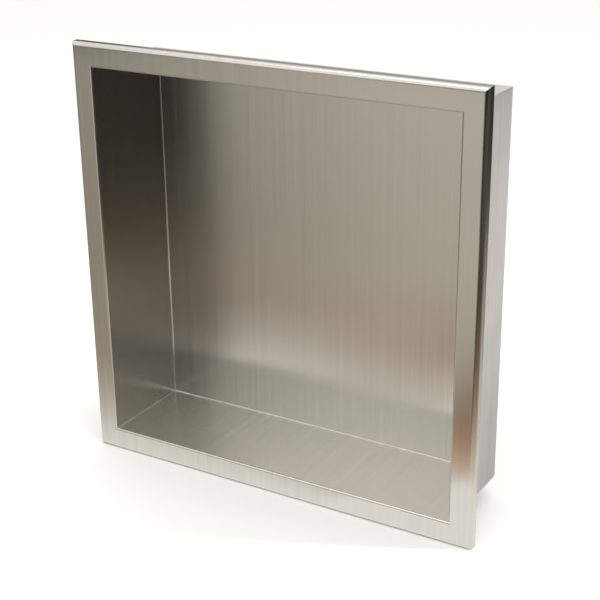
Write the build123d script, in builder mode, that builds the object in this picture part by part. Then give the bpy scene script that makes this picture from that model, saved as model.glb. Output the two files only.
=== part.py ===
from build123d import *
import os

# Shower niche insert: one stainless sheet folded into an open box with a border and a turned-back rim.
# X points right seen from the front, Y into the wall and Z up. The origin is the middle of the rear face.

# Driving dimensions, in millimetres
overall_width = 406.4    # across the rim
overall_height = 406.4   # over the rim
overall_depth = 101.6    # front of the border to the rear face
border = 22.0            # outside of the rim to the inside of the wall
rim_depth = 9.5          # front of the border to the rear edge of the rim
sheet = 1.2              # thickness of the stainless sheet
rim_bend = 3.3           # inside radius, border to rim
mouth_bend = 0.8         # inside radius, wall to border
back_bend = 1.6          # inside radius, back to wall

opening_width = overall_width - 2 * border
opening_height = overall_height - 2 * border

# Depths of the two faces that show from the front
border_face = -overall_depth
back_face = -sheet

# The bend at the back keeps as much flat sheet again beyond it, where it meets the back panel
back_margin = 2 * back_bend


# The section of one folded side, seen along the sheet: local x runs outward from the inside of the wall,
# local y into the wall. The line drawn is the side of the sheet that shows from the front.
section_plane = Plane(origin=(0, 0, -opening_height / 2), x_dir=(0, 0, -1), z_dir=(1, 0, 0))

with BuildSketch(section_plane) as side_section:
    with BuildLine():
        FilletPolyline(
            (-back_margin, back_face),
            (0, back_face),
            (0, border_face),
            (border, border_face),
            (border, border_face + rim_depth),
            radius=[back_bend, mouth_bend + sheet, rim_bend + sheet],
        )
        offset(amount=sheet, side=Side.LEFT)
    make_face()

# The section's way round the opening starts in the middle of the floor and turns at four mitred corners
with BuildLine(Plane.XZ) as way_round:
    Polyline(
        (0, -opening_height / 2),
        (opening_width / 2, -opening_height / 2),
        (opening_width / 2, opening_height / 2),
        (-opening_width / 2, opening_height / 2),
        (-opening_width / 2, -opening_height / 2),
        close=True,
    )

with BuildPart() as niche_body:
    sweep(sections=side_section.sketch, path=way_round.wire(), transition=Transition.RIGHT)
    with BuildSketch(Plane.XZ) as back_panel:
        Rectangle(opening_width - 2 * back_margin, opening_height - 2 * back_margin)
    extrude(amount=sheet)

niche_body.part.label = "niche_body"
os.makedirs("parts", exist_ok=True)
export_step(niche_body.part, "parts/niche_body.step")
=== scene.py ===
# %% [markdown]
# # A shower niche insert in brushed stainless steel
# The object is one sheet of stainless steel, folded into an open box with a flat border and a rounded
# rim. Its solid is already made, so this lesson gives it the looks: smooth bends, welded corners, a
# brushed front, a duller mill finish behind, and a small studio for the metal to mirror. Everything is
# in metres, X to the right, Y into the wall and Z up.

# %% Load the solid
import math

import bpy
import numpy as np
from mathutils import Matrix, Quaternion, Vector


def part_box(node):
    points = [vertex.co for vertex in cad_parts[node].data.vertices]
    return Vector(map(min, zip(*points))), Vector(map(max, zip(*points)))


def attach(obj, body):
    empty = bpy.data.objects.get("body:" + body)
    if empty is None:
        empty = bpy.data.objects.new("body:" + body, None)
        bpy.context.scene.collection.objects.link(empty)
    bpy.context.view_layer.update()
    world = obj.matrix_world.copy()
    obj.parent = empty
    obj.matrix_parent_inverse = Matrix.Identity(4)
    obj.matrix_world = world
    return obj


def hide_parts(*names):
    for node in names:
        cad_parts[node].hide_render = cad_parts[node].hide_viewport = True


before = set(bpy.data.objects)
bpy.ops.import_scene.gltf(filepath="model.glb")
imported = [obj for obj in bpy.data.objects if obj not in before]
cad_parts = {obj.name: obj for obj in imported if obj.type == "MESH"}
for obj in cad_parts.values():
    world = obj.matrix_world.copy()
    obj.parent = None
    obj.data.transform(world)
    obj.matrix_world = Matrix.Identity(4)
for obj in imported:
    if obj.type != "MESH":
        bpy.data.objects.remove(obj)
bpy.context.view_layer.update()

low, high = (np.array(corner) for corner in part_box("niche_body"))
width, depth, height = high - low
print(f"solid: {width * 1000:.1f} wide, {height * 1000:.1f} high, {depth * 1000:.1f} mm deep")

# %% [markdown]
# ## The folded section
# Cut through one side of the niche and you see a thin line of sheet: the back, a tight bend, the wall,
# a second bend at the mouth, the flat border, a large round at the rim and a short return to the tiles.
# It could be drawn as a polyline and bevelled, but arcs worked out from their centres give exact
# normals too, and exact normals are what make folded metal look folded and not dented. So every run of
# the section keeps its points and the way each point faces.

# %% Flats and bends
MM = 0.001
SHEET = 1.2 * MM
BORDER = 22.0 * MM
RIM_DEPTH = 9.5 * MM
# The rounds of the rim and the mouth are measured outside the bend, the round of the back inside it.
RIM_ROUND = 4.5 * MM
MOUTH_ROUND = 2.0 * MM
BACK_ROUND = 1.6 * MM
BACK_MARGIN = 2 * BACK_ROUND
BEND_STEPS = 16

front = low[1]
back = high[1] - SHEET
half_width = width / 2 - BORDER
half_height = height / 2 - BORDER


def flat(start, end, facing):
    """A straight run: its two ends, both facing the same way."""
    return np.array([start, end]), np.array([facing, facing], float)


def bend(centre, radius, first, last, side):
    """A bend: points on a circle round centre, from the first angle to the last, in degrees.
    The sheet faces away from the centre where side is 1 and towards it where side is -1."""
    angle = np.radians(np.linspace(first, last, BEND_STEPS + 1))
    spoke = np.stack([np.cos(angle), np.sin(angle)], axis=1)
    return np.array(centre) + radius * spoke, side * spoke


print(f"opening: {2 * half_width * 1000:.1f} x {2 * half_height * 1000:.1f} mm")

# %% [markdown]
# The runs are laid end to end: out along the front of the sheet, round its cut edge at the tiles, and
# back along the rear. Both ends lie on the back panel, which closes the loop later. The strips made
# from the front runs get the brushed finish and the others the mill finish, so each strip keeps the
# number of its finish.

# %% Draw the section


def folded_section():
    """The runs of the section in order, outward along the front of the sheet and back along its rear.
    The first number is the distance out from the wall's inner face, the second the depth."""
    back_centre = (-BACK_ROUND, back - BACK_ROUND)
    mouth_centre = (MOUTH_ROUND, front + MOUTH_ROUND)
    rim_centre = (BORDER - RIM_ROUND, front + RIM_ROUND)
    rim_end = front + RIM_DEPTH
    front_runs = [
        flat((-BACK_MARGIN, back), (-BACK_ROUND, back), (0, -1)),
        bend(back_centre, BACK_ROUND, 90, 0, -1),
        flat((0, back - BACK_ROUND), (0, front + MOUTH_ROUND), (-1, 0)),
        bend(mouth_centre, MOUTH_ROUND, 180, 270, 1),
        flat((MOUTH_ROUND, front), (BORDER - RIM_ROUND, front), (0, -1)),
        bend(rim_centre, RIM_ROUND, 270, 360, 1),
        flat((BORDER, front + RIM_ROUND), (BORDER, rim_end), (1, 0)),
        flat((BORDER, rim_end), (BORDER - SHEET, rim_end), (0, 1)),
    ]
    rear_runs = [
        flat((BORDER - SHEET, rim_end), (BORDER - SHEET, front + RIM_ROUND), (-1, 0)),
        bend(rim_centre, RIM_ROUND - SHEET, 360, 270, -1),
        flat((BORDER - RIM_ROUND, front + SHEET), (MOUTH_ROUND, front + SHEET), (0, 1)),
        bend(mouth_centre, MOUTH_ROUND - SHEET, 270, 180, -1),
        flat((SHEET, front + MOUTH_ROUND), (SHEET, back - BACK_ROUND), (1, 0)),
        bend(back_centre, BACK_ROUND + SHEET, 0, 90, 1),
        flat((-BACK_ROUND, back + SHEET), (-BACK_MARGIN, back + SHEET), (0, 1)),
    ]
    return front_runs, rear_runs


front_runs, rear_runs = folded_section()
runs = front_runs + rear_runs
points = np.vstack([runs[0][0][:1]] + [run_points[1:] for run_points, _ in runs])
start_facing = np.vstack([facing[:-1] for _, facing in runs])
end_facing = np.vstack([facing[1:] for _, facing in runs])
strips = [sum(len(run_points) - 1 for run_points, _ in half) for half in (front_runs, rear_runs)]
strip_finish = np.repeat([0, 1], strips)
along = np.concatenate([[0], np.cumsum(np.linalg.norm(np.diff(points, axis=0), axis=1))])
print(f"section: {len(points)} points, {along[-1] * 1000:.1f} mm round")

# %% [markdown]
# ## The section carried round the opening
# The four sides meet in mitres, so every point of the section only needs four copies, one at each
# corner, pushed out along both axes by the same amount. That is one formula for the whole ring. The
# back panel then closes the ring with one face in front and one behind, and the shell is watertight.

# %% Points and faces of the shell
CORNERS = np.array([(-1, -1), (1, -1), (1, 1), (-1, 1)])
OUTWARD = np.array([(0, -1), (1, 0), (0, 1), (-1, 0)])


def shell_vertices():
    """Point i of the section at corner k: the corner's signs times the half opening plus the way out."""
    out, deep = points[:, :1], points[:, 1:]
    x = CORNERS[:, 0] * (half_width + out)
    z = CORNERS[:, 1] * (half_height + out)
    return np.stack([x, np.broadcast_to(deep, x.shape), z], axis=2).reshape(-1, 3)


def shell_faces():
    """Quads between neighbouring points of the section and neighbouring corners, then two back faces."""
    row, side = np.meshgrid(np.arange(len(points) - 1), np.arange(4), indexing="ij")
    after = (side + 1) % 4
    ring = np.stack([row * 4 + side, row * 4 + 4 + side, row * 4 + 4 + after, row * 4 + after], axis=2)
    last = 4 * (len(points) - 1)
    return np.vstack([ring.reshape(-1, 4), [[0, 1, 2, 3]], [[last + 3, last + 2, last + 1, last]]])


vertices, faces = shell_vertices(), shell_faces()
print(f"shell: {len(vertices)} points, {len(faces)} faces")

# %% [markdown]
# The UV map is the sheet before it was folded: U across the brushing, V along it. The brush ran up and
# down the flat blank, so on the floor of the niche the grain runs front to back, and it stays upright
# on the back, the side walls and the border, as on the real one. The normals come straight from the
# section, so a bend of sixteen strips shades as a true round.

# %% Normals and the unfolded sheet


def shell_normals():
    """Each face corner's exact normal: the section's facing, turned to the side that the face is on."""
    facing = np.stack([start_facing, end_facing, end_facing, start_facing], axis=1)[:, None]
    outward = facing[..., :1] * OUTWARD[None, :, None]
    deep = np.broadcast_to(facing[..., 1:], outward.shape[:3] + (1,))
    ring = np.concatenate([outward[..., :1], deep, outward[..., 1:]], axis=3).reshape(-1, 3)
    return np.vstack([ring, np.tile((0, -1, 0), (4, 1)), np.tile((0, 1, 0), (4, 1))])


def shell_blank():
    """The unfolded sheet: across and up on the back, and on each side the length of sheet out from it."""
    place = vertices[faces][..., [0, 2]]
    reach = along[faces // 4] + np.array([half_width, half_height])[:, None, None] - BACK_MARGIN
    side = np.tile(np.arange(4), len(points) - 1)
    upright = side % 2 == 1
    sign = OUTWARD[side].sum(axis=1)[:, None]
    ring = slice(0, len(side))
    place[ring, :, 0] = np.where(upright[:, None], sign * reach[0, ring], place[ring, :, 0])
    place[ring, :, 1] = np.where(upright[:, None], place[ring, :, 1], sign * reach[1, ring])
    return place.reshape(-1, 2)


blank_places, normals = shell_blank(), shell_normals()
print(f"unfolded sheet: {len(blank_places)} face corners, each with its own normal")

# %% [markdown]
# The arrays become a mesh in one go. Every piece of the niche rides on its one body, and the shell
# takes the place of the plain solid.

# %% The shell as a piece


def mesh_piece(name, vertices, faces):
    """A piece from an array of points and a list of faces, riding on the one body."""
    mesh = bpy.data.meshes.new(name)
    mesh.from_pydata(vertices.tolist(), [], faces)
    mesh.shade_smooth()
    piece = bpy.data.objects.new(name, mesh)
    bpy.context.scene.collection.objects.link(piece)
    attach(piece, "root")
    return piece


shell = mesh_piece("niche_shell", vertices, faces.tolist())
blank = shell.data.uv_layers.new(name="blank")
blank.uv.foreach_set("vector", blank_places.ravel())
shell.data.polygons.foreach_set("material_index", np.append(np.repeat(strip_finish, 4), [0, 1]))
shell.data.normals_split_custom_set(normals.tolist())
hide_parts("niche_body")
print(f"piece: {shell.name}")

# %% [markdown]
# ## Welded corners
# A folded box is open at its corners until they are welded. Inside, the weld is a thin fillet that was
# dressed by hand, so its width wanders a little, and it thins towards the back. Outside, where nobody
# looks, it stays as a rippled bead that tapers at both ends. A bevel on the shell's edge would be even
# all along, so each weld is its own slim closed tube: a small outline carried along the depth, with its
# size a function of the distance along the seam.

# %% Shape of the welds
SEAM_STEPS = 240
FILLET_LEG = 0.9 * MM
FILLET_STEPS = 6
FILLET_THINNING = 0.7
# The foot of the fillet lies this far behind the faces of the walls, so that no gap shows.
FOOT_SUNK = 0.5 * MM
# The leg wanders in two waves, each with its share of the leg and its length of seam per radian.
LONG_WANDER, LONG_WAVE = 0.16, 9.0 * MM
SHORT_WANDER, SHORT_WAVE = 0.1, 3.1 * MM
BEAD_RADIUS = 0.6 * MM
BEAD_SIDES = 16
BEAD_TAPER = 4.0 * MM
# The taper stops short of nothing, so that the caps keep some size.
BEAD_TIP = 0.03
RIPPLE, RIPPLE_RISE = 2.4 * MM, 0.1


def fillet_leg(seam, phase):
    """Leg of the fillet along the seam: two sine waves, thinned by the square of the share of the depth."""
    long_wave = LONG_WANDER * np.sin(seam / LONG_WAVE + phase)
    short_wave = SHORT_WANDER * np.sin(seam / SHORT_WAVE + 2 * phase)
    thinning = 1 - FILLET_THINNING * ((seam - front) / depth) ** 2
    return FILLET_LEG * (1 + long_wave + short_wave) * thinning


def fillet_outline(signs, leg):
    """A hollow quarter circle between the two walls, closed by a foot that is sunk behind their faces."""
    angle = np.linspace(0, math.pi / 2, FILLET_STEPS + 1)
    hollow = leg[:, None, None] * np.stack([1 - np.sin(angle), 1 - np.cos(angle)], axis=1)
    foot = np.array([(-FOOT_SUNK, 1), (-FOOT_SUNK, -FOOT_SUNK), (1, -FOOT_SUNK)])
    foot = np.where(foot > 0, leg[:, None, None], foot)
    outline = np.concatenate([hollow, foot], axis=1)
    # Two of the four corners are mirror images, so their outline is reversed to keep the faces outward.
    outline = outline[:, ::-int(signs[0] * signs[1])]
    return -outline * signs


def bead_outline(seam, phase):
    """A circle: its radius ripples where each drop of weld froze and tapers as a square root at the ends."""
    ripple = 1 + RIPPLE_RISE * np.abs(np.sin(math.pi * seam / RIPPLE + phase))
    from_end = np.minimum(seam - seam[0], seam[-1] - seam)
    taper = np.sqrt(np.clip(from_end / BEAD_TAPER, BEAD_TIP, 1))
    angle = np.linspace(0, 2 * math.pi, BEAD_SIDES, endpoint=False)
    circle = np.stack([np.cos(angle), -np.sin(angle)], axis=1)
    return (BEAD_RADIUS * ripple * taper)[:, None, None] * circle


inside_seam = np.linspace(front + MOUTH_ROUND, back - BACK_ROUND, SEAM_STEPS)
outside_seam = np.linspace(front + MOUTH_ROUND + SHEET, back - BACK_ROUND, SEAM_STEPS)
first_leg = fillet_leg(inside_seam, 0.0)
print(f"fillet legs: {first_leg.min() * 1000:.2f} to {first_leg.max() * 1000:.2f} mm")

# %% [markdown]
# Each outline now becomes a tube along its seam, with a cap at both ends. The waves start at another
# phase in each corner, because no hand welds four seams alike.

# %% Lay the welds
PLACES = ("lower_left", "lower_right", "upper_right", "upper_left")
PHASE_STEP = 3.4


def tube(name, corner, outline, seam):
    """A closed tube: outline is steps x round x 2 offsets from the corner, seam the depth of each step."""
    steps, around = outline.shape[:2]
    ring = np.stack([
        corner[0] + outline[..., 0],
        np.broadcast_to(seam[:, None], (steps, around)),
        corner[1] + outline[..., 1],
    ], axis=2)
    step, turn = np.meshgrid(np.arange(steps - 1), np.arange(around), indexing="ij")
    after = (turn + 1) % around
    quads = np.stack([step * around + turn, step * around + after,
                      (step + 1) * around + after, (step + 1) * around + turn], axis=2).reshape(-1, 4)
    caps = [list(range(around))[::-1], list(range((steps - 1) * around, steps * around))]
    return mesh_piece(name, ring.reshape(-1, 3), quads.tolist() + caps)


welds = []
for index, (place, signs) in enumerate(zip(PLACES, CORNERS)):
    phase = PHASE_STEP * index
    inner_corner = signs * np.array([half_width, half_height])
    outer_corner = inner_corner + signs * SHEET
    fillet = fillet_outline(signs, fillet_leg(inside_seam, phase))
    bead = bead_outline(outside_seam, phase)
    welds.append(tube(f"inside_weld_{place}", inner_corner, fillet, inside_seam))
    welds.append(tube(f"outside_weld_{place}", outer_corner, bead, outside_seam))
print("welds:", ", ".join(weld.name for weld in welds))

# %% [markdown]
# ## Finishes
# Colours are written as sRGB hex, as in any paint program, and one function turns them to the linear
# values that a shader expects. A second small function adds a node with its settings and links.

# %% Helpers for finishes


def linear(hex_colour):
    """sRGB hex to linear light: the lower part of the curve is straight, the rest a power of 2.4."""
    srgb = np.array([int(hex_colour[i:i + 2], 16) for i in (1, 3, 5)]) / 255
    return tuple(np.where(srgb <= 0.04045, srgb / 12.92, ((srgb + 0.055) / 1.055) ** 2.4)) + (1.0,)


def add(tree, kind, inputs=None, **settings):
    """Adds a node to a tree. Settings are its properties; inputs take values, or sockets to link from."""
    node = tree.nodes.new(kind)
    for name, value in settings.items():
        setattr(node, name, value)
    for name, value in (inputs or {}).items():
        if isinstance(value, bpy.types.NodeSocket):
            tree.links.new(value, node.inputs[name])
        else:
            node.inputs[name].default_value = value
    return node


def new_finish(name):
    """A new material and its node tree, still empty."""
    material = bpy.data.materials.new(name)
    material.use_nodes = True
    material.node_tree.nodes.clear()
    return material, material.node_tree


print("a middle grey of #808080 is", round(linear("#808080")[0], 3), "in linear light")

# %% [markdown]
# ## Brushed stainless steel
# An abrasive belt leaves thousands of fine parallel scratches. Each one mirrors along its length and
# scatters light across it, so reflections are sharp up and down the grain and smeared sideways. That is
# anisotropy, and its tangent comes from the U of the unfolded sheet. Real scratches are a few
# hundredths of a millimetre apart, too fine to show here, so the streaks are drawn 0.9 mm and 6 mm
# wide.

# %% Brushed finish
STREAK = (0.9 * MM, 240 * MM)
BROAD_STREAK = (6 * MM, 900 * MM)
# Nearly all sums of two noises lie between these two.
NOISE_SUM = {"From Min": 0.6, "From Max": 1.4}
STEEL_DARK, STEEL_PALE = "#D3D0C9", "#DBD8D1"
STEEL_ROUGHNESS = {"To Min": 0.19, "To Max": 0.22}
SCRATCH = {"Strength": 0.8, "Distance": 0.012 * MM}
GRAIN_SMEAR = 0.95


def streaks(tree, uv, size, detail):
    """Noise stretched along the grain: one cell is size[0] across and size[1] along."""
    scaled = add(tree, "ShaderNodeMapping", {"Vector": uv, "Scale": (1 / size[0], 1 / size[1], 1)})
    noise = add(tree, "ShaderNodeTexNoise", {"Vector": scaled.outputs[0], "Scale": 1.0, "Detail": detail},
                noise_dimensions="2D")
    return noise.outputs[0]


def brushed_stainless():
    """Satin stainless steel, ground with a belt along the V of the unfolded sheet: to the eye a silky grey
    whose reflections run across the grain, with faint streaks along it."""
    finish, tree = new_finish("brushed_stainless_steel")
    uv = add(tree, "ShaderNodeUVMap", uv_map="blank").outputs[0]
    fine = streaks(tree, uv, STREAK, 3)
    broad = streaks(tree, uv, BROAD_STREAK, 2)
    both = add(tree, "ShaderNodeMath", {0: fine, 1: broad}, operation="ADD").outputs[0]
    pale = add(tree, "ShaderNodeMapRange", {"Value": both, **NOISE_SUM}).outputs[0]
    colour = add(tree, "ShaderNodeMix", {"Factor": pale, "A": linear(STEEL_DARK), "B": linear(STEEL_PALE)},
                 data_type="RGBA").outputs["Result"]
    rough = add(tree, "ShaderNodeMapRange", {"Value": both, **NOISE_SUM, **STEEL_ROUGHNESS}).outputs[0]
    bump = add(tree, "ShaderNodeBump", {"Height": fine, **SCRATCH}).outputs[0]
    tangent = add(tree, "ShaderNodeTangent", direction_type="UV_MAP", uv_map="blank").outputs[0]
    steel = add(tree, "ShaderNodeBsdfPrincipled",
                {"Base Color": colour, "Metallic": 1.0, "Roughness": rough, "Normal": bump,
                 "Tangent": tangent, "Anisotropic": GRAIN_SMEAR})
    add(tree, "ShaderNodeOutputMaterial", {"Surface": steel.outputs[0]})
    return finish


front_finish = brushed_stainless()
print("front finish:", front_finish.name)

# %% [markdown]
# ## Mill finish
# The side that goes into the wall was never brushed. It keeps the dull, even skin of cold-rolled sheet:
# a metal too, but rough, a little cloudy, and with faint lines along the rolling, which ran the same
# way as the brush.

# %% Mill finish
CLOUD = 45 * MM
ROLLING_LINE = (3 * MM, 500 * MM)
MILL_GRAIN = 1.2 * MM
MILL_DARK, MILL_PALE = "#BDBBB8", "#CBC9C6"
MILL_ROUGHNESS = {"To Min": 0.86, "To Max": 0.94}
MILL_PITS = {"Strength": 0.15, "Distance": 0.02 * MM}


def mill_finish():
    """Cold-rolled stainless sheet, pickled: pale and dull, slightly cloudy, faintly lined by the rolls."""
    finish, tree = new_finish("mill_finish_stainless_steel")
    place = add(tree, "ShaderNodeTexCoord").outputs["Object"]
    cloud = add(tree, "ShaderNodeTexNoise", {"Vector": place, "Scale": 1 / CLOUD, "Detail": 3.0}).outputs[0]
    grain = add(tree, "ShaderNodeTexNoise",
                {"Vector": place, "Scale": 1 / MILL_GRAIN, "Detail": 2.0}).outputs[0]
    uv = add(tree, "ShaderNodeUVMap", uv_map="blank").outputs[0]
    rolled = streaks(tree, uv, ROLLING_LINE, 3)
    skin = add(tree, "ShaderNodeMath", {0: cloud, 1: rolled}, operation="ADD").outputs[0]
    skin = add(tree, "ShaderNodeMapRange", {"Value": skin, **NOISE_SUM}).outputs[0]
    colour = add(tree, "ShaderNodeMix", {"Factor": skin, "A": linear(MILL_DARK), "B": linear(MILL_PALE)},
                 data_type="RGBA").outputs["Result"]
    rough = add(tree, "ShaderNodeMapRange", {"Value": cloud, **MILL_ROUGHNESS}).outputs[0]
    bump = add(tree, "ShaderNodeBump", {"Height": grain, **MILL_PITS}).outputs[0]
    steel = add(tree, "ShaderNodeBsdfPrincipled",
                {"Base Color": colour, "Metallic": 1.0, "Roughness": rough, "Normal": bump})
    add(tree, "ShaderNodeOutputMaterial", {"Surface": steel.outputs[0]})
    return finish


rear_finish = mill_finish()
shell.data.materials.append(front_finish)
shell.data.materials.append(rear_finish)
print("rear finish:", rear_finish.name)

# %% [markdown]
# ## Weld metal
# Weld metal has no grain. It froze from a melt and was wiped with a wire wheel, so its colour and its
# gloss are spotty, and it catches the light from more sides than the brushed sheet.

# %% Weld finish
WELD_SPOT = 2.5 * MM
WELD_DARK, WELD_PALE = "#B9B5AD", "#DAD8D3"
WELD_ROUGHNESS = {"To Min": 0.28, "To Max": 0.45}


def weld_metal():
    """Stainless weld bead, wire-brushed: bright and spotty."""
    finish, tree = new_finish("wire_brushed_weld_metal")
    place = add(tree, "ShaderNodeTexCoord").outputs["Object"]
    spots = add(tree, "ShaderNodeTexNoise",
                {"Vector": place, "Scale": 1 / WELD_SPOT, "Detail": 2.0}).outputs[0]
    colour = add(tree, "ShaderNodeMix", {"Factor": spots, "A": linear(WELD_DARK), "B": linear(WELD_PALE)},
                 data_type="RGBA").outputs["Result"]
    rough = add(tree, "ShaderNodeMapRange", {"Value": spots, **WELD_ROUGHNESS}).outputs[0]
    steel = add(tree, "ShaderNodeBsdfPrincipled",
                {"Base Color": colour, "Metallic": 1.0, "Roughness": rough})
    add(tree, "ShaderNodeOutputMaterial", {"Surface": steel.outputs[0]})
    return finish


weld_finish = weld_metal()
for weld in welds:
    weld.data.materials.append(weld_finish)
print("weld finish:", weld_finish.name)

# %% [markdown]
# ## The studio
# Metal shows what stands round it, so the studio is half of the finish. This one is a plain white room
# with a pale paper floor, on which the border of the niche stands.

# %% Room and floor
FLOOR_REACH = 4.0
ROOM_WHITE = "#FEFDFB"
PAPER_WHITE = "#FDFCFA"


def staged(name, corners, finish):
    """A flat sheet of the studio from its four corners; it is no part of the niche."""
    mesh = bpy.data.meshes.new(name)
    mesh.from_pydata(corners, [], [(0, 1, 2, 3)])
    sheet = bpy.data.objects.new(name, mesh)
    sheet.data.materials.append(finish)
    bpy.context.scene.collection.objects.link(sheet)
    return sheet


def level_square(reach, z):
    """The corners of a level square round the origin."""
    return [(-reach, -reach, z), (reach, -reach, z), (reach, reach, z), (-reach, reach, z)]


def pale_paper():
    """Matt white paper: even, with no gloss."""
    finish, tree = new_finish("matt_white_paper")
    paper = add(tree, "ShaderNodeBsdfDiffuse", {"Color": linear(PAPER_WHITE)}).outputs[0]
    add(tree, "ShaderNodeOutputMaterial", {"Surface": paper})
    return finish


world = bpy.data.worlds.new("white_room")
bpy.context.scene.world = world
world.use_nodes = True
room = world.node_tree
room.nodes.clear()
walls = add(room, "ShaderNodeBackground", {"Color": linear(ROOM_WHITE), "Strength": 1.0})
add(room, "ShaderNodeOutputWorld", {"Surface": walls.outputs[0]})
staged("studio_floor", level_square(FLOOR_REACH, low[2]), pale_paper())
print(f"floor: {2 * FLOOR_REACH:.0f} m square, {-low[2] * 1000:.1f} mm below the niche's middle")

# %% [markdown]
# A white room alone would make the steel white too. So it gets what a photographer of metal uses: cards
# that only the reflections see. Their greys change with a distance or a height, and a colour ramp holds
# them. A soft mask lets one ramp give way to the next from one side of the niche to another.

# %% Ramps and masks
RAMP_END = 1.6


def grey_ramp(tree, measure, greys):
    """A colour ramp over a measure, with its stops given in the same unit, from 0 to RAMP_END."""
    share = add(tree, "ShaderNodeMath", {0: measure, 1: RAMP_END}, operation="DIVIDE").outputs[0]
    ramp = add(tree, "ShaderNodeValToRGB", {0: share})
    elements = ramp.color_ramp.elements
    while len(elements) < len(greys):
        elements.new(0.5)
    while len(elements) > len(greys):
        elements.remove(elements[-1])
    for stop, (place, colour) in zip(elements, greys.items()):
        stop.position = place / RAMP_END
        stop.color = linear(colour)
    return ramp.outputs[0]


def side_mask(tree, way, side, cosines):
    """How far a direction turns to one side: 0 up to the first cosine, 1 from the second on."""
    turn = add(tree, "ShaderNodeVectorMath", {0: way, 1: side}, operation="DOT_PRODUCT").outputs["Value"]
    return add(tree, "ShaderNodeMapRange", {"Value": turn, "From Min": cosines[0], "From Max": cosines[1]},
               interpolation_type="SMOOTHSTEP").outputs[0]


def only_mirrored(card):
    """Hides a card from the camera and from plain light, so that only reflections see it."""
    card.visible_camera = False
    card.visible_diffuse = False
    card.visible_transmission = False
    card.visible_shadow = False


print(f"ramps: stops from 0 to {RAMP_END}")

# %% [markdown]
# The card on the floor is white beside and in front of the niche, so the foot of the border stays
# bright, and a shadow of the niche is painted on it, dark right behind the niche. Further out its grey
# depends on the distance from the niche and on the side: middling in front, dimmer to the left, warm
# and then dark to the right, and fading behind.
# Light mirrored twice finds the card dimmed: painted shade, which darkens the inside of the niche where
# its walls show the card by way of one another.

# %% Card on the floor
CARD_REACH = 8.0
CARD_LIFT = 0.5 * MM
# Share of the card's grey that light mirrored twice gets: painted shade inside the niche.
SECOND_LOOK_PAINTED_SHADE = 0.4
FRONT_GREYS = {0.0: "#FFFFFF", 0.02: "#F6F4F1", 0.05: "#D6D0C7", 0.1: "#C8C0B5", 0.14: "#BFB3A6",
               0.22: "#C0B3A5", 0.35: "#CAC2B4", 0.6: "#CECABE", 1.5: "#E1DED4"}
LEFT_GREYS = {0.0: "#FBFAF7", 0.03: "#F0EDE8", 0.05: "#E2DED8", 0.12: "#C4BDB2", 0.22: "#A9A093",
              0.5: "#9C9588", 1.5: "#928D84"}
FRONT_RIGHT_GREYS = {0.0: "#FFFFFF", 0.02: "#F6F4F1", 0.045: "#D6D0C7", 0.1: "#D6CCC0", 0.13: "#D2B9A2",
                     0.17: "#B9957B", 0.22: "#9A7A62", 0.3: "#6E5A4A", 0.45: "#2E2823", 0.9: "#0E0D0C"}
RIGHT_GREYS = {0.0: "#FFFFFF", 0.1: "#FFFDFA", 0.13: "#E2DBD2", 0.18: "#CDBFB0", 0.27: "#A9937D",
               0.38: "#826D5B", 0.6: "#524840", 1.0: "#54504A"}
# Right behind the niche the rear greys start dark: a painted shadow of the niche on the card.
REAR_SHADOW_AND_GREYS = {0.0: "#5E5B57", 0.04: "#98948F", 0.08: "#E8E5E0", 0.13: "#E2DFDA", 0.25: "#D8D4CE",
              0.4: "#B4AFA8", 0.6: "#9A958D", 0.85: "#68635D", 1.1: "#46423E", 1.45: "#3A3733"}
# Each further side of the card: the way to it from the niche, the cosines of its mask, and its greys.
CARD_SIDES = (
    ((-0.940, -0.342, 0.0), (0.60, 0.95), LEFT_GREYS),
    ((0.819, -0.574, 0.0), (0.63, 0.88), FRONT_RIGHT_GREYS),
    ((1.0, 0.0, 0.0), (0.57, 0.73), RIGHT_GREYS),
    ((0.0, 1.0, 0.0), (0.0, 0.6), REAR_SHADOW_AND_GREYS),
)


def niche_distance(tree, centred):
    """Distance from the niche's footprint: the length of what lies past half its width and half its depth.
    A metre off the third number leaves the height out."""
    past = add(tree, "ShaderNodeVectorMath", {0: centred}, operation="ABSOLUTE").outputs[0]
    past = add(tree, "ShaderNodeVectorMath", {0: past, 1: (width / 2, depth / 2, 1)},
               operation="SUBTRACT").outputs[0]
    past = add(tree, "ShaderNodeVectorMath", {0: past, 1: (0, 0, 0)}, operation="MAXIMUM").outputs[0]
    return add(tree, "ShaderNodeVectorMath", {0: past}, operation="LENGTH").outputs["Value"]


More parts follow.
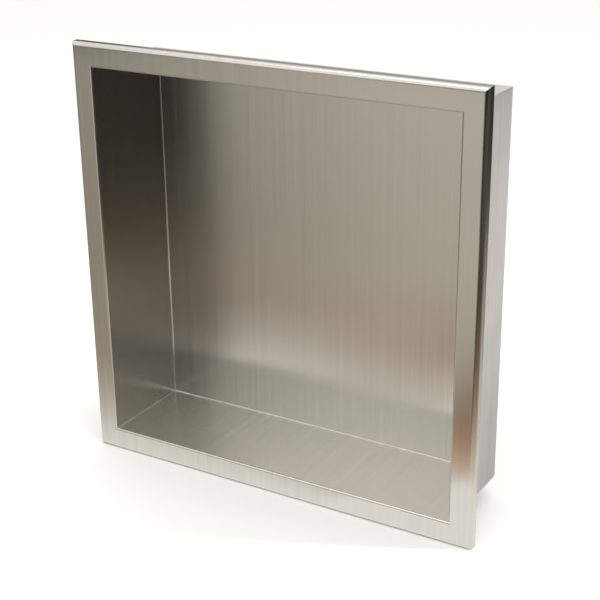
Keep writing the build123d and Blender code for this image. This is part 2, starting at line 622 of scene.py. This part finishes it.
def floor_card_finish():
    """Card greyed by distance and side, a painted shadow behind, dimmed for a second look: painted shade."""
    finish, tree = new_finish("dim_card_on_floor")
    place = add(tree, "ShaderNodeTexCoord").outputs["Object"]
    centred = add(tree, "ShaderNodeVectorMath", {0: place, 1: (0, depth / 2, 0)}, operation="ADD").outputs[0]
    away = niche_distance(tree, centred)
    way = add(tree, "ShaderNodeVectorMath", {0: centred, 1: (1, 1, 0)}, operation="MULTIPLY").outputs[0]
    way = add(tree, "ShaderNodeVectorMath", {0: way}, operation="NORMALIZE").outputs[0]
    grey = grey_ramp(tree, away, FRONT_GREYS)
    for side, cosines, greys in CARD_SIDES:
        mask = side_mask(tree, way, side, cosines)
        grey = add(tree, "ShaderNodeMix", {"Factor": mask, "A": grey, "B": grey_ramp(tree, away, greys)},
                   data_type="RGBA").outputs["Result"]
    # On a card, Ray Depth is 1 for light that was mirrored once and 2 for light that was mirrored twice.
    mirrored = add(tree, "ShaderNodeLightPath").outputs["Ray Depth"]
    # Painted shade: light mirrored twice finds the card dimmed, which darkens the inside of the niche.
    level = add(tree, "ShaderNodeMapRange", {"Value": mirrored, "From Min": 1.0, "From Max": 2.0,
                                             "To Min": 1.0, "To Max": SECOND_LOOK_PAINTED_SHADE}).outputs[0]
    card = add(tree, "ShaderNodeEmission", {"Color": grey, "Strength": level}).outputs[0]
    add(tree, "ShaderNodeOutputMaterial", {"Surface": card})
    return finish


floor_card = staged("floor_card", level_square(CARD_REACH, low[2] + CARD_LIFT), floor_card_finish())
only_mirrored(floor_card)
print(f"floor card: {2 * CARD_REACH:.0f} m square, {1 + len(CARD_SIDES)} sides")

# %% [markdown]
# Five cards stand round the niche. Two behind draw the darker line along the edge of the top rim. One
# to the left dims the floor of the niche on that side, by way of the back. Two to the right are what
# the left wall and the lower left corner show, once the back has turned the view round.

# %% Standing cards
NEAR_BLACK = "#0E0D0C"


def standing_card(name, start, end, heights, greys):
    """An upright card over a line on the floor plan, its greys given by the height in metres."""
    (x0, y0), (x1, y1), (z0, z1) = start, end, heights
    finish, tree = new_finish(f"dim_{name}")
    place = add(tree, "ShaderNodeTexCoord").outputs["Object"]
    height_of = add(tree, "ShaderNodeSeparateXYZ", {0: place}).outputs["Z"]
    card = add(tree, "ShaderNodeEmission", {"Color": grey_ramp(tree, height_of, greys)}).outputs[0]
    add(tree, "ShaderNodeOutputMaterial", {"Surface": card})
    return staged(name, [(x0, y0, z0), (x1, y1, z0), (x1, y1, z1), (x0, y0, z1)], finish)


standing_cards = [
    standing_card("behind_left_card", start=(-1.4, 1.0), end=(-0.98, 1.0), heights=(0.25, 1.1),
                  greys={0.0: "#4A4743"}),
    standing_card("behind_card", start=(-0.98, 1.0), end=(-0.15, 1.0), heights=(0.25, 1.1),
                  greys={0.0: "#A6A29C"}),
    standing_card("left_card", start=(-0.54, -0.86), end=(-1.0, -0.2), heights=(0.05, 0.35),
                  greys={0.0: "#7C7A76"}),
    standing_card("low_right_card", start=(0.09, -1.03), end=(0.54, -0.76), heights=(-0.2, 0.0),
                  greys={0.0: NEAR_BLACK}),
    standing_card("right_card", start=(-0.26, -1.2371), end=(1.25, -0.34), heights=(0.0, 1.6),
                  greys={0.34: NEAR_BLACK, 0.46: "#FFFFFF"}),
]
for card in standing_cards:
    only_mirrored(card)
print("standing cards:", ", ".join(card.name for card in standing_cards))

# %% [markdown]
# The round of the top rim mirrors the room above the horizon. A plain white room would end its
# highlight with a hard edge, so in front and to the left the room rises softly from grey to white,
# sooner towards the right. Only the first reflection sees that; the camera and the plain light keep the
# white room.

# %% Glow in front
GLOW = {0.85: "#B4AFA5", 1.0: "#DDD9D0", 1.34: "#E2DFD8", 1.58: ROOM_WHITE}
# How high a direction counts: its Z, leaned by one and a half times its X, from a start that keeps it
# above 0. The greys are set over that number.
GLOW_LEAN, GLOW_START = (1.5, 0.0, 1.0), 1.75
GLOW_SIDE, GLOW_COSINES = (-0.51, -0.86, 0.0), (0.2, 0.6)
# In the room, Ray Depth is 2 for light that was mirrored once and 3 for twice: one more than on a card.
ONCE_MIRRORED = 2.5

ray = add(room, "ShaderNodeTexCoord").outputs["Generated"]
rise = add(room, "ShaderNodeVectorMath", {0: ray, 1: GLOW_LEAN},
           operation="DOT_PRODUCT").outputs["Value"]
rise = add(room, "ShaderNodeMath", {0: rise, 1: GLOW_START}, operation="ADD").outputs[0]
path = add(room, "ShaderNodeLightPath").outputs
once = add(room, "ShaderNodeMath", {0: path["Ray Depth"], 1: ONCE_MIRRORED},
           operation="LESS_THAN").outputs[0]
once = add(room, "ShaderNodeMath", {0: once, 1: path["Is Glossy Ray"]}, operation="MULTIPLY").outputs[0]
in_front = side_mask(room, ray, GLOW_SIDE, GLOW_COSINES)
seen = add(room, "ShaderNodeMath", {0: once, 1: in_front}, operation="MULTIPLY").outputs[0]
greys = grey_ramp(room, rise, GLOW)
glow = add(room, "ShaderNodeMix", {"Factor": seen, "A": linear(ROOM_WHITE), "B": greys},
           data_type="RGBA").outputs["Result"]
room.links.new(glow, walls.inputs["Color"])
print("glow:", len(GLOW), "greys over the front of the room")

# %% [markdown]
# A large lamp above gives the soft shadow on the floor. A weak one in front, to the left, brightens the
# floor of the niche by way of the back. A small one to the right, with a grid that narrows its beam,
# lights the dull outer wall, which is too rough to show the cards.

# %% Lamps
MIDDLE = (0.0, 0.0, 0.0)
OUTER_WALL = (0.18, -0.05, 0.015)


def soft_lamp(name, place, aim, size, watts, spread=180):
    """A rectangular area lamp that faces the aim; a grid can narrow its spread, given in degrees."""
    data = bpy.data.lights.new(name, "AREA")
    data.shape = "RECTANGLE"
    data.size, data.size_y = size
    data.energy = watts
    data.spread = math.radians(spread)
    lamp = bpy.data.objects.new(name, data)
    lamp.location = place
    lamp.rotation_mode = "QUATERNION"
    lamp.rotation_quaternion = (Vector(aim) - Vector(place)).to_track_quat("-Z", "Y")
    bpy.context.scene.collection.objects.link(lamp)
    print(f"{name}: {watts} W, {Vector(place).length:.2f} m away")


soft_lamp("top_lamp", place=(0.15, -0.35, 1.6), aim=MIDDLE, size=(1.5, 0.9), watts=10)
soft_lamp("front_lamp", place=(-0.58, -1.1, 0.83), aim=MIDDLE, size=(1.1, 0.62), watts=0.8)
soft_lamp("side_lamp", place=(1.2, 0.45, 0.75), aim=OUTER_WALL, size=(0.2, 0.2), watts=0.24, spread=18)

# %% [markdown]
# ## The camera
# Its place and lens were worked out from the straight edges in the picture: it stands to the right of
# the niche and above it, with a longish lens.

# %% Camera
CAMERA_AT = Vector((0.58488, -1.01934, 0.42653))
YAW, PITCH, ROLL = (math.radians(angle) for angle in (30.968, -21.799, 0.741))
LENS, SENSOR = 79.436, 36.0

forward = Vector((-math.sin(YAW) * math.cos(PITCH), math.cos(YAW) * math.cos(PITCH), math.sin(PITCH)))
camera_data = bpy.data.cameras.new("camera")
camera_data.lens, camera_data.sensor_width = LENS, SENSOR
camera = bpy.data.objects.new("camera", camera_data)
camera.location = CAMERA_AT
camera.rotation_mode = "QUATERNION"
camera.rotation_quaternion = Quaternion(forward, ROLL) @ forward.to_track_quat("-Z", "Y")
bpy.context.scene.collection.objects.link(camera)
bpy.context.scene.camera = camera
bpy.context.scene.view_settings.view_transform = "Standard"
print(f"camera: {CAMERA_AT.length:.2f} m from the niche, {LENS:.0f} mm lens")
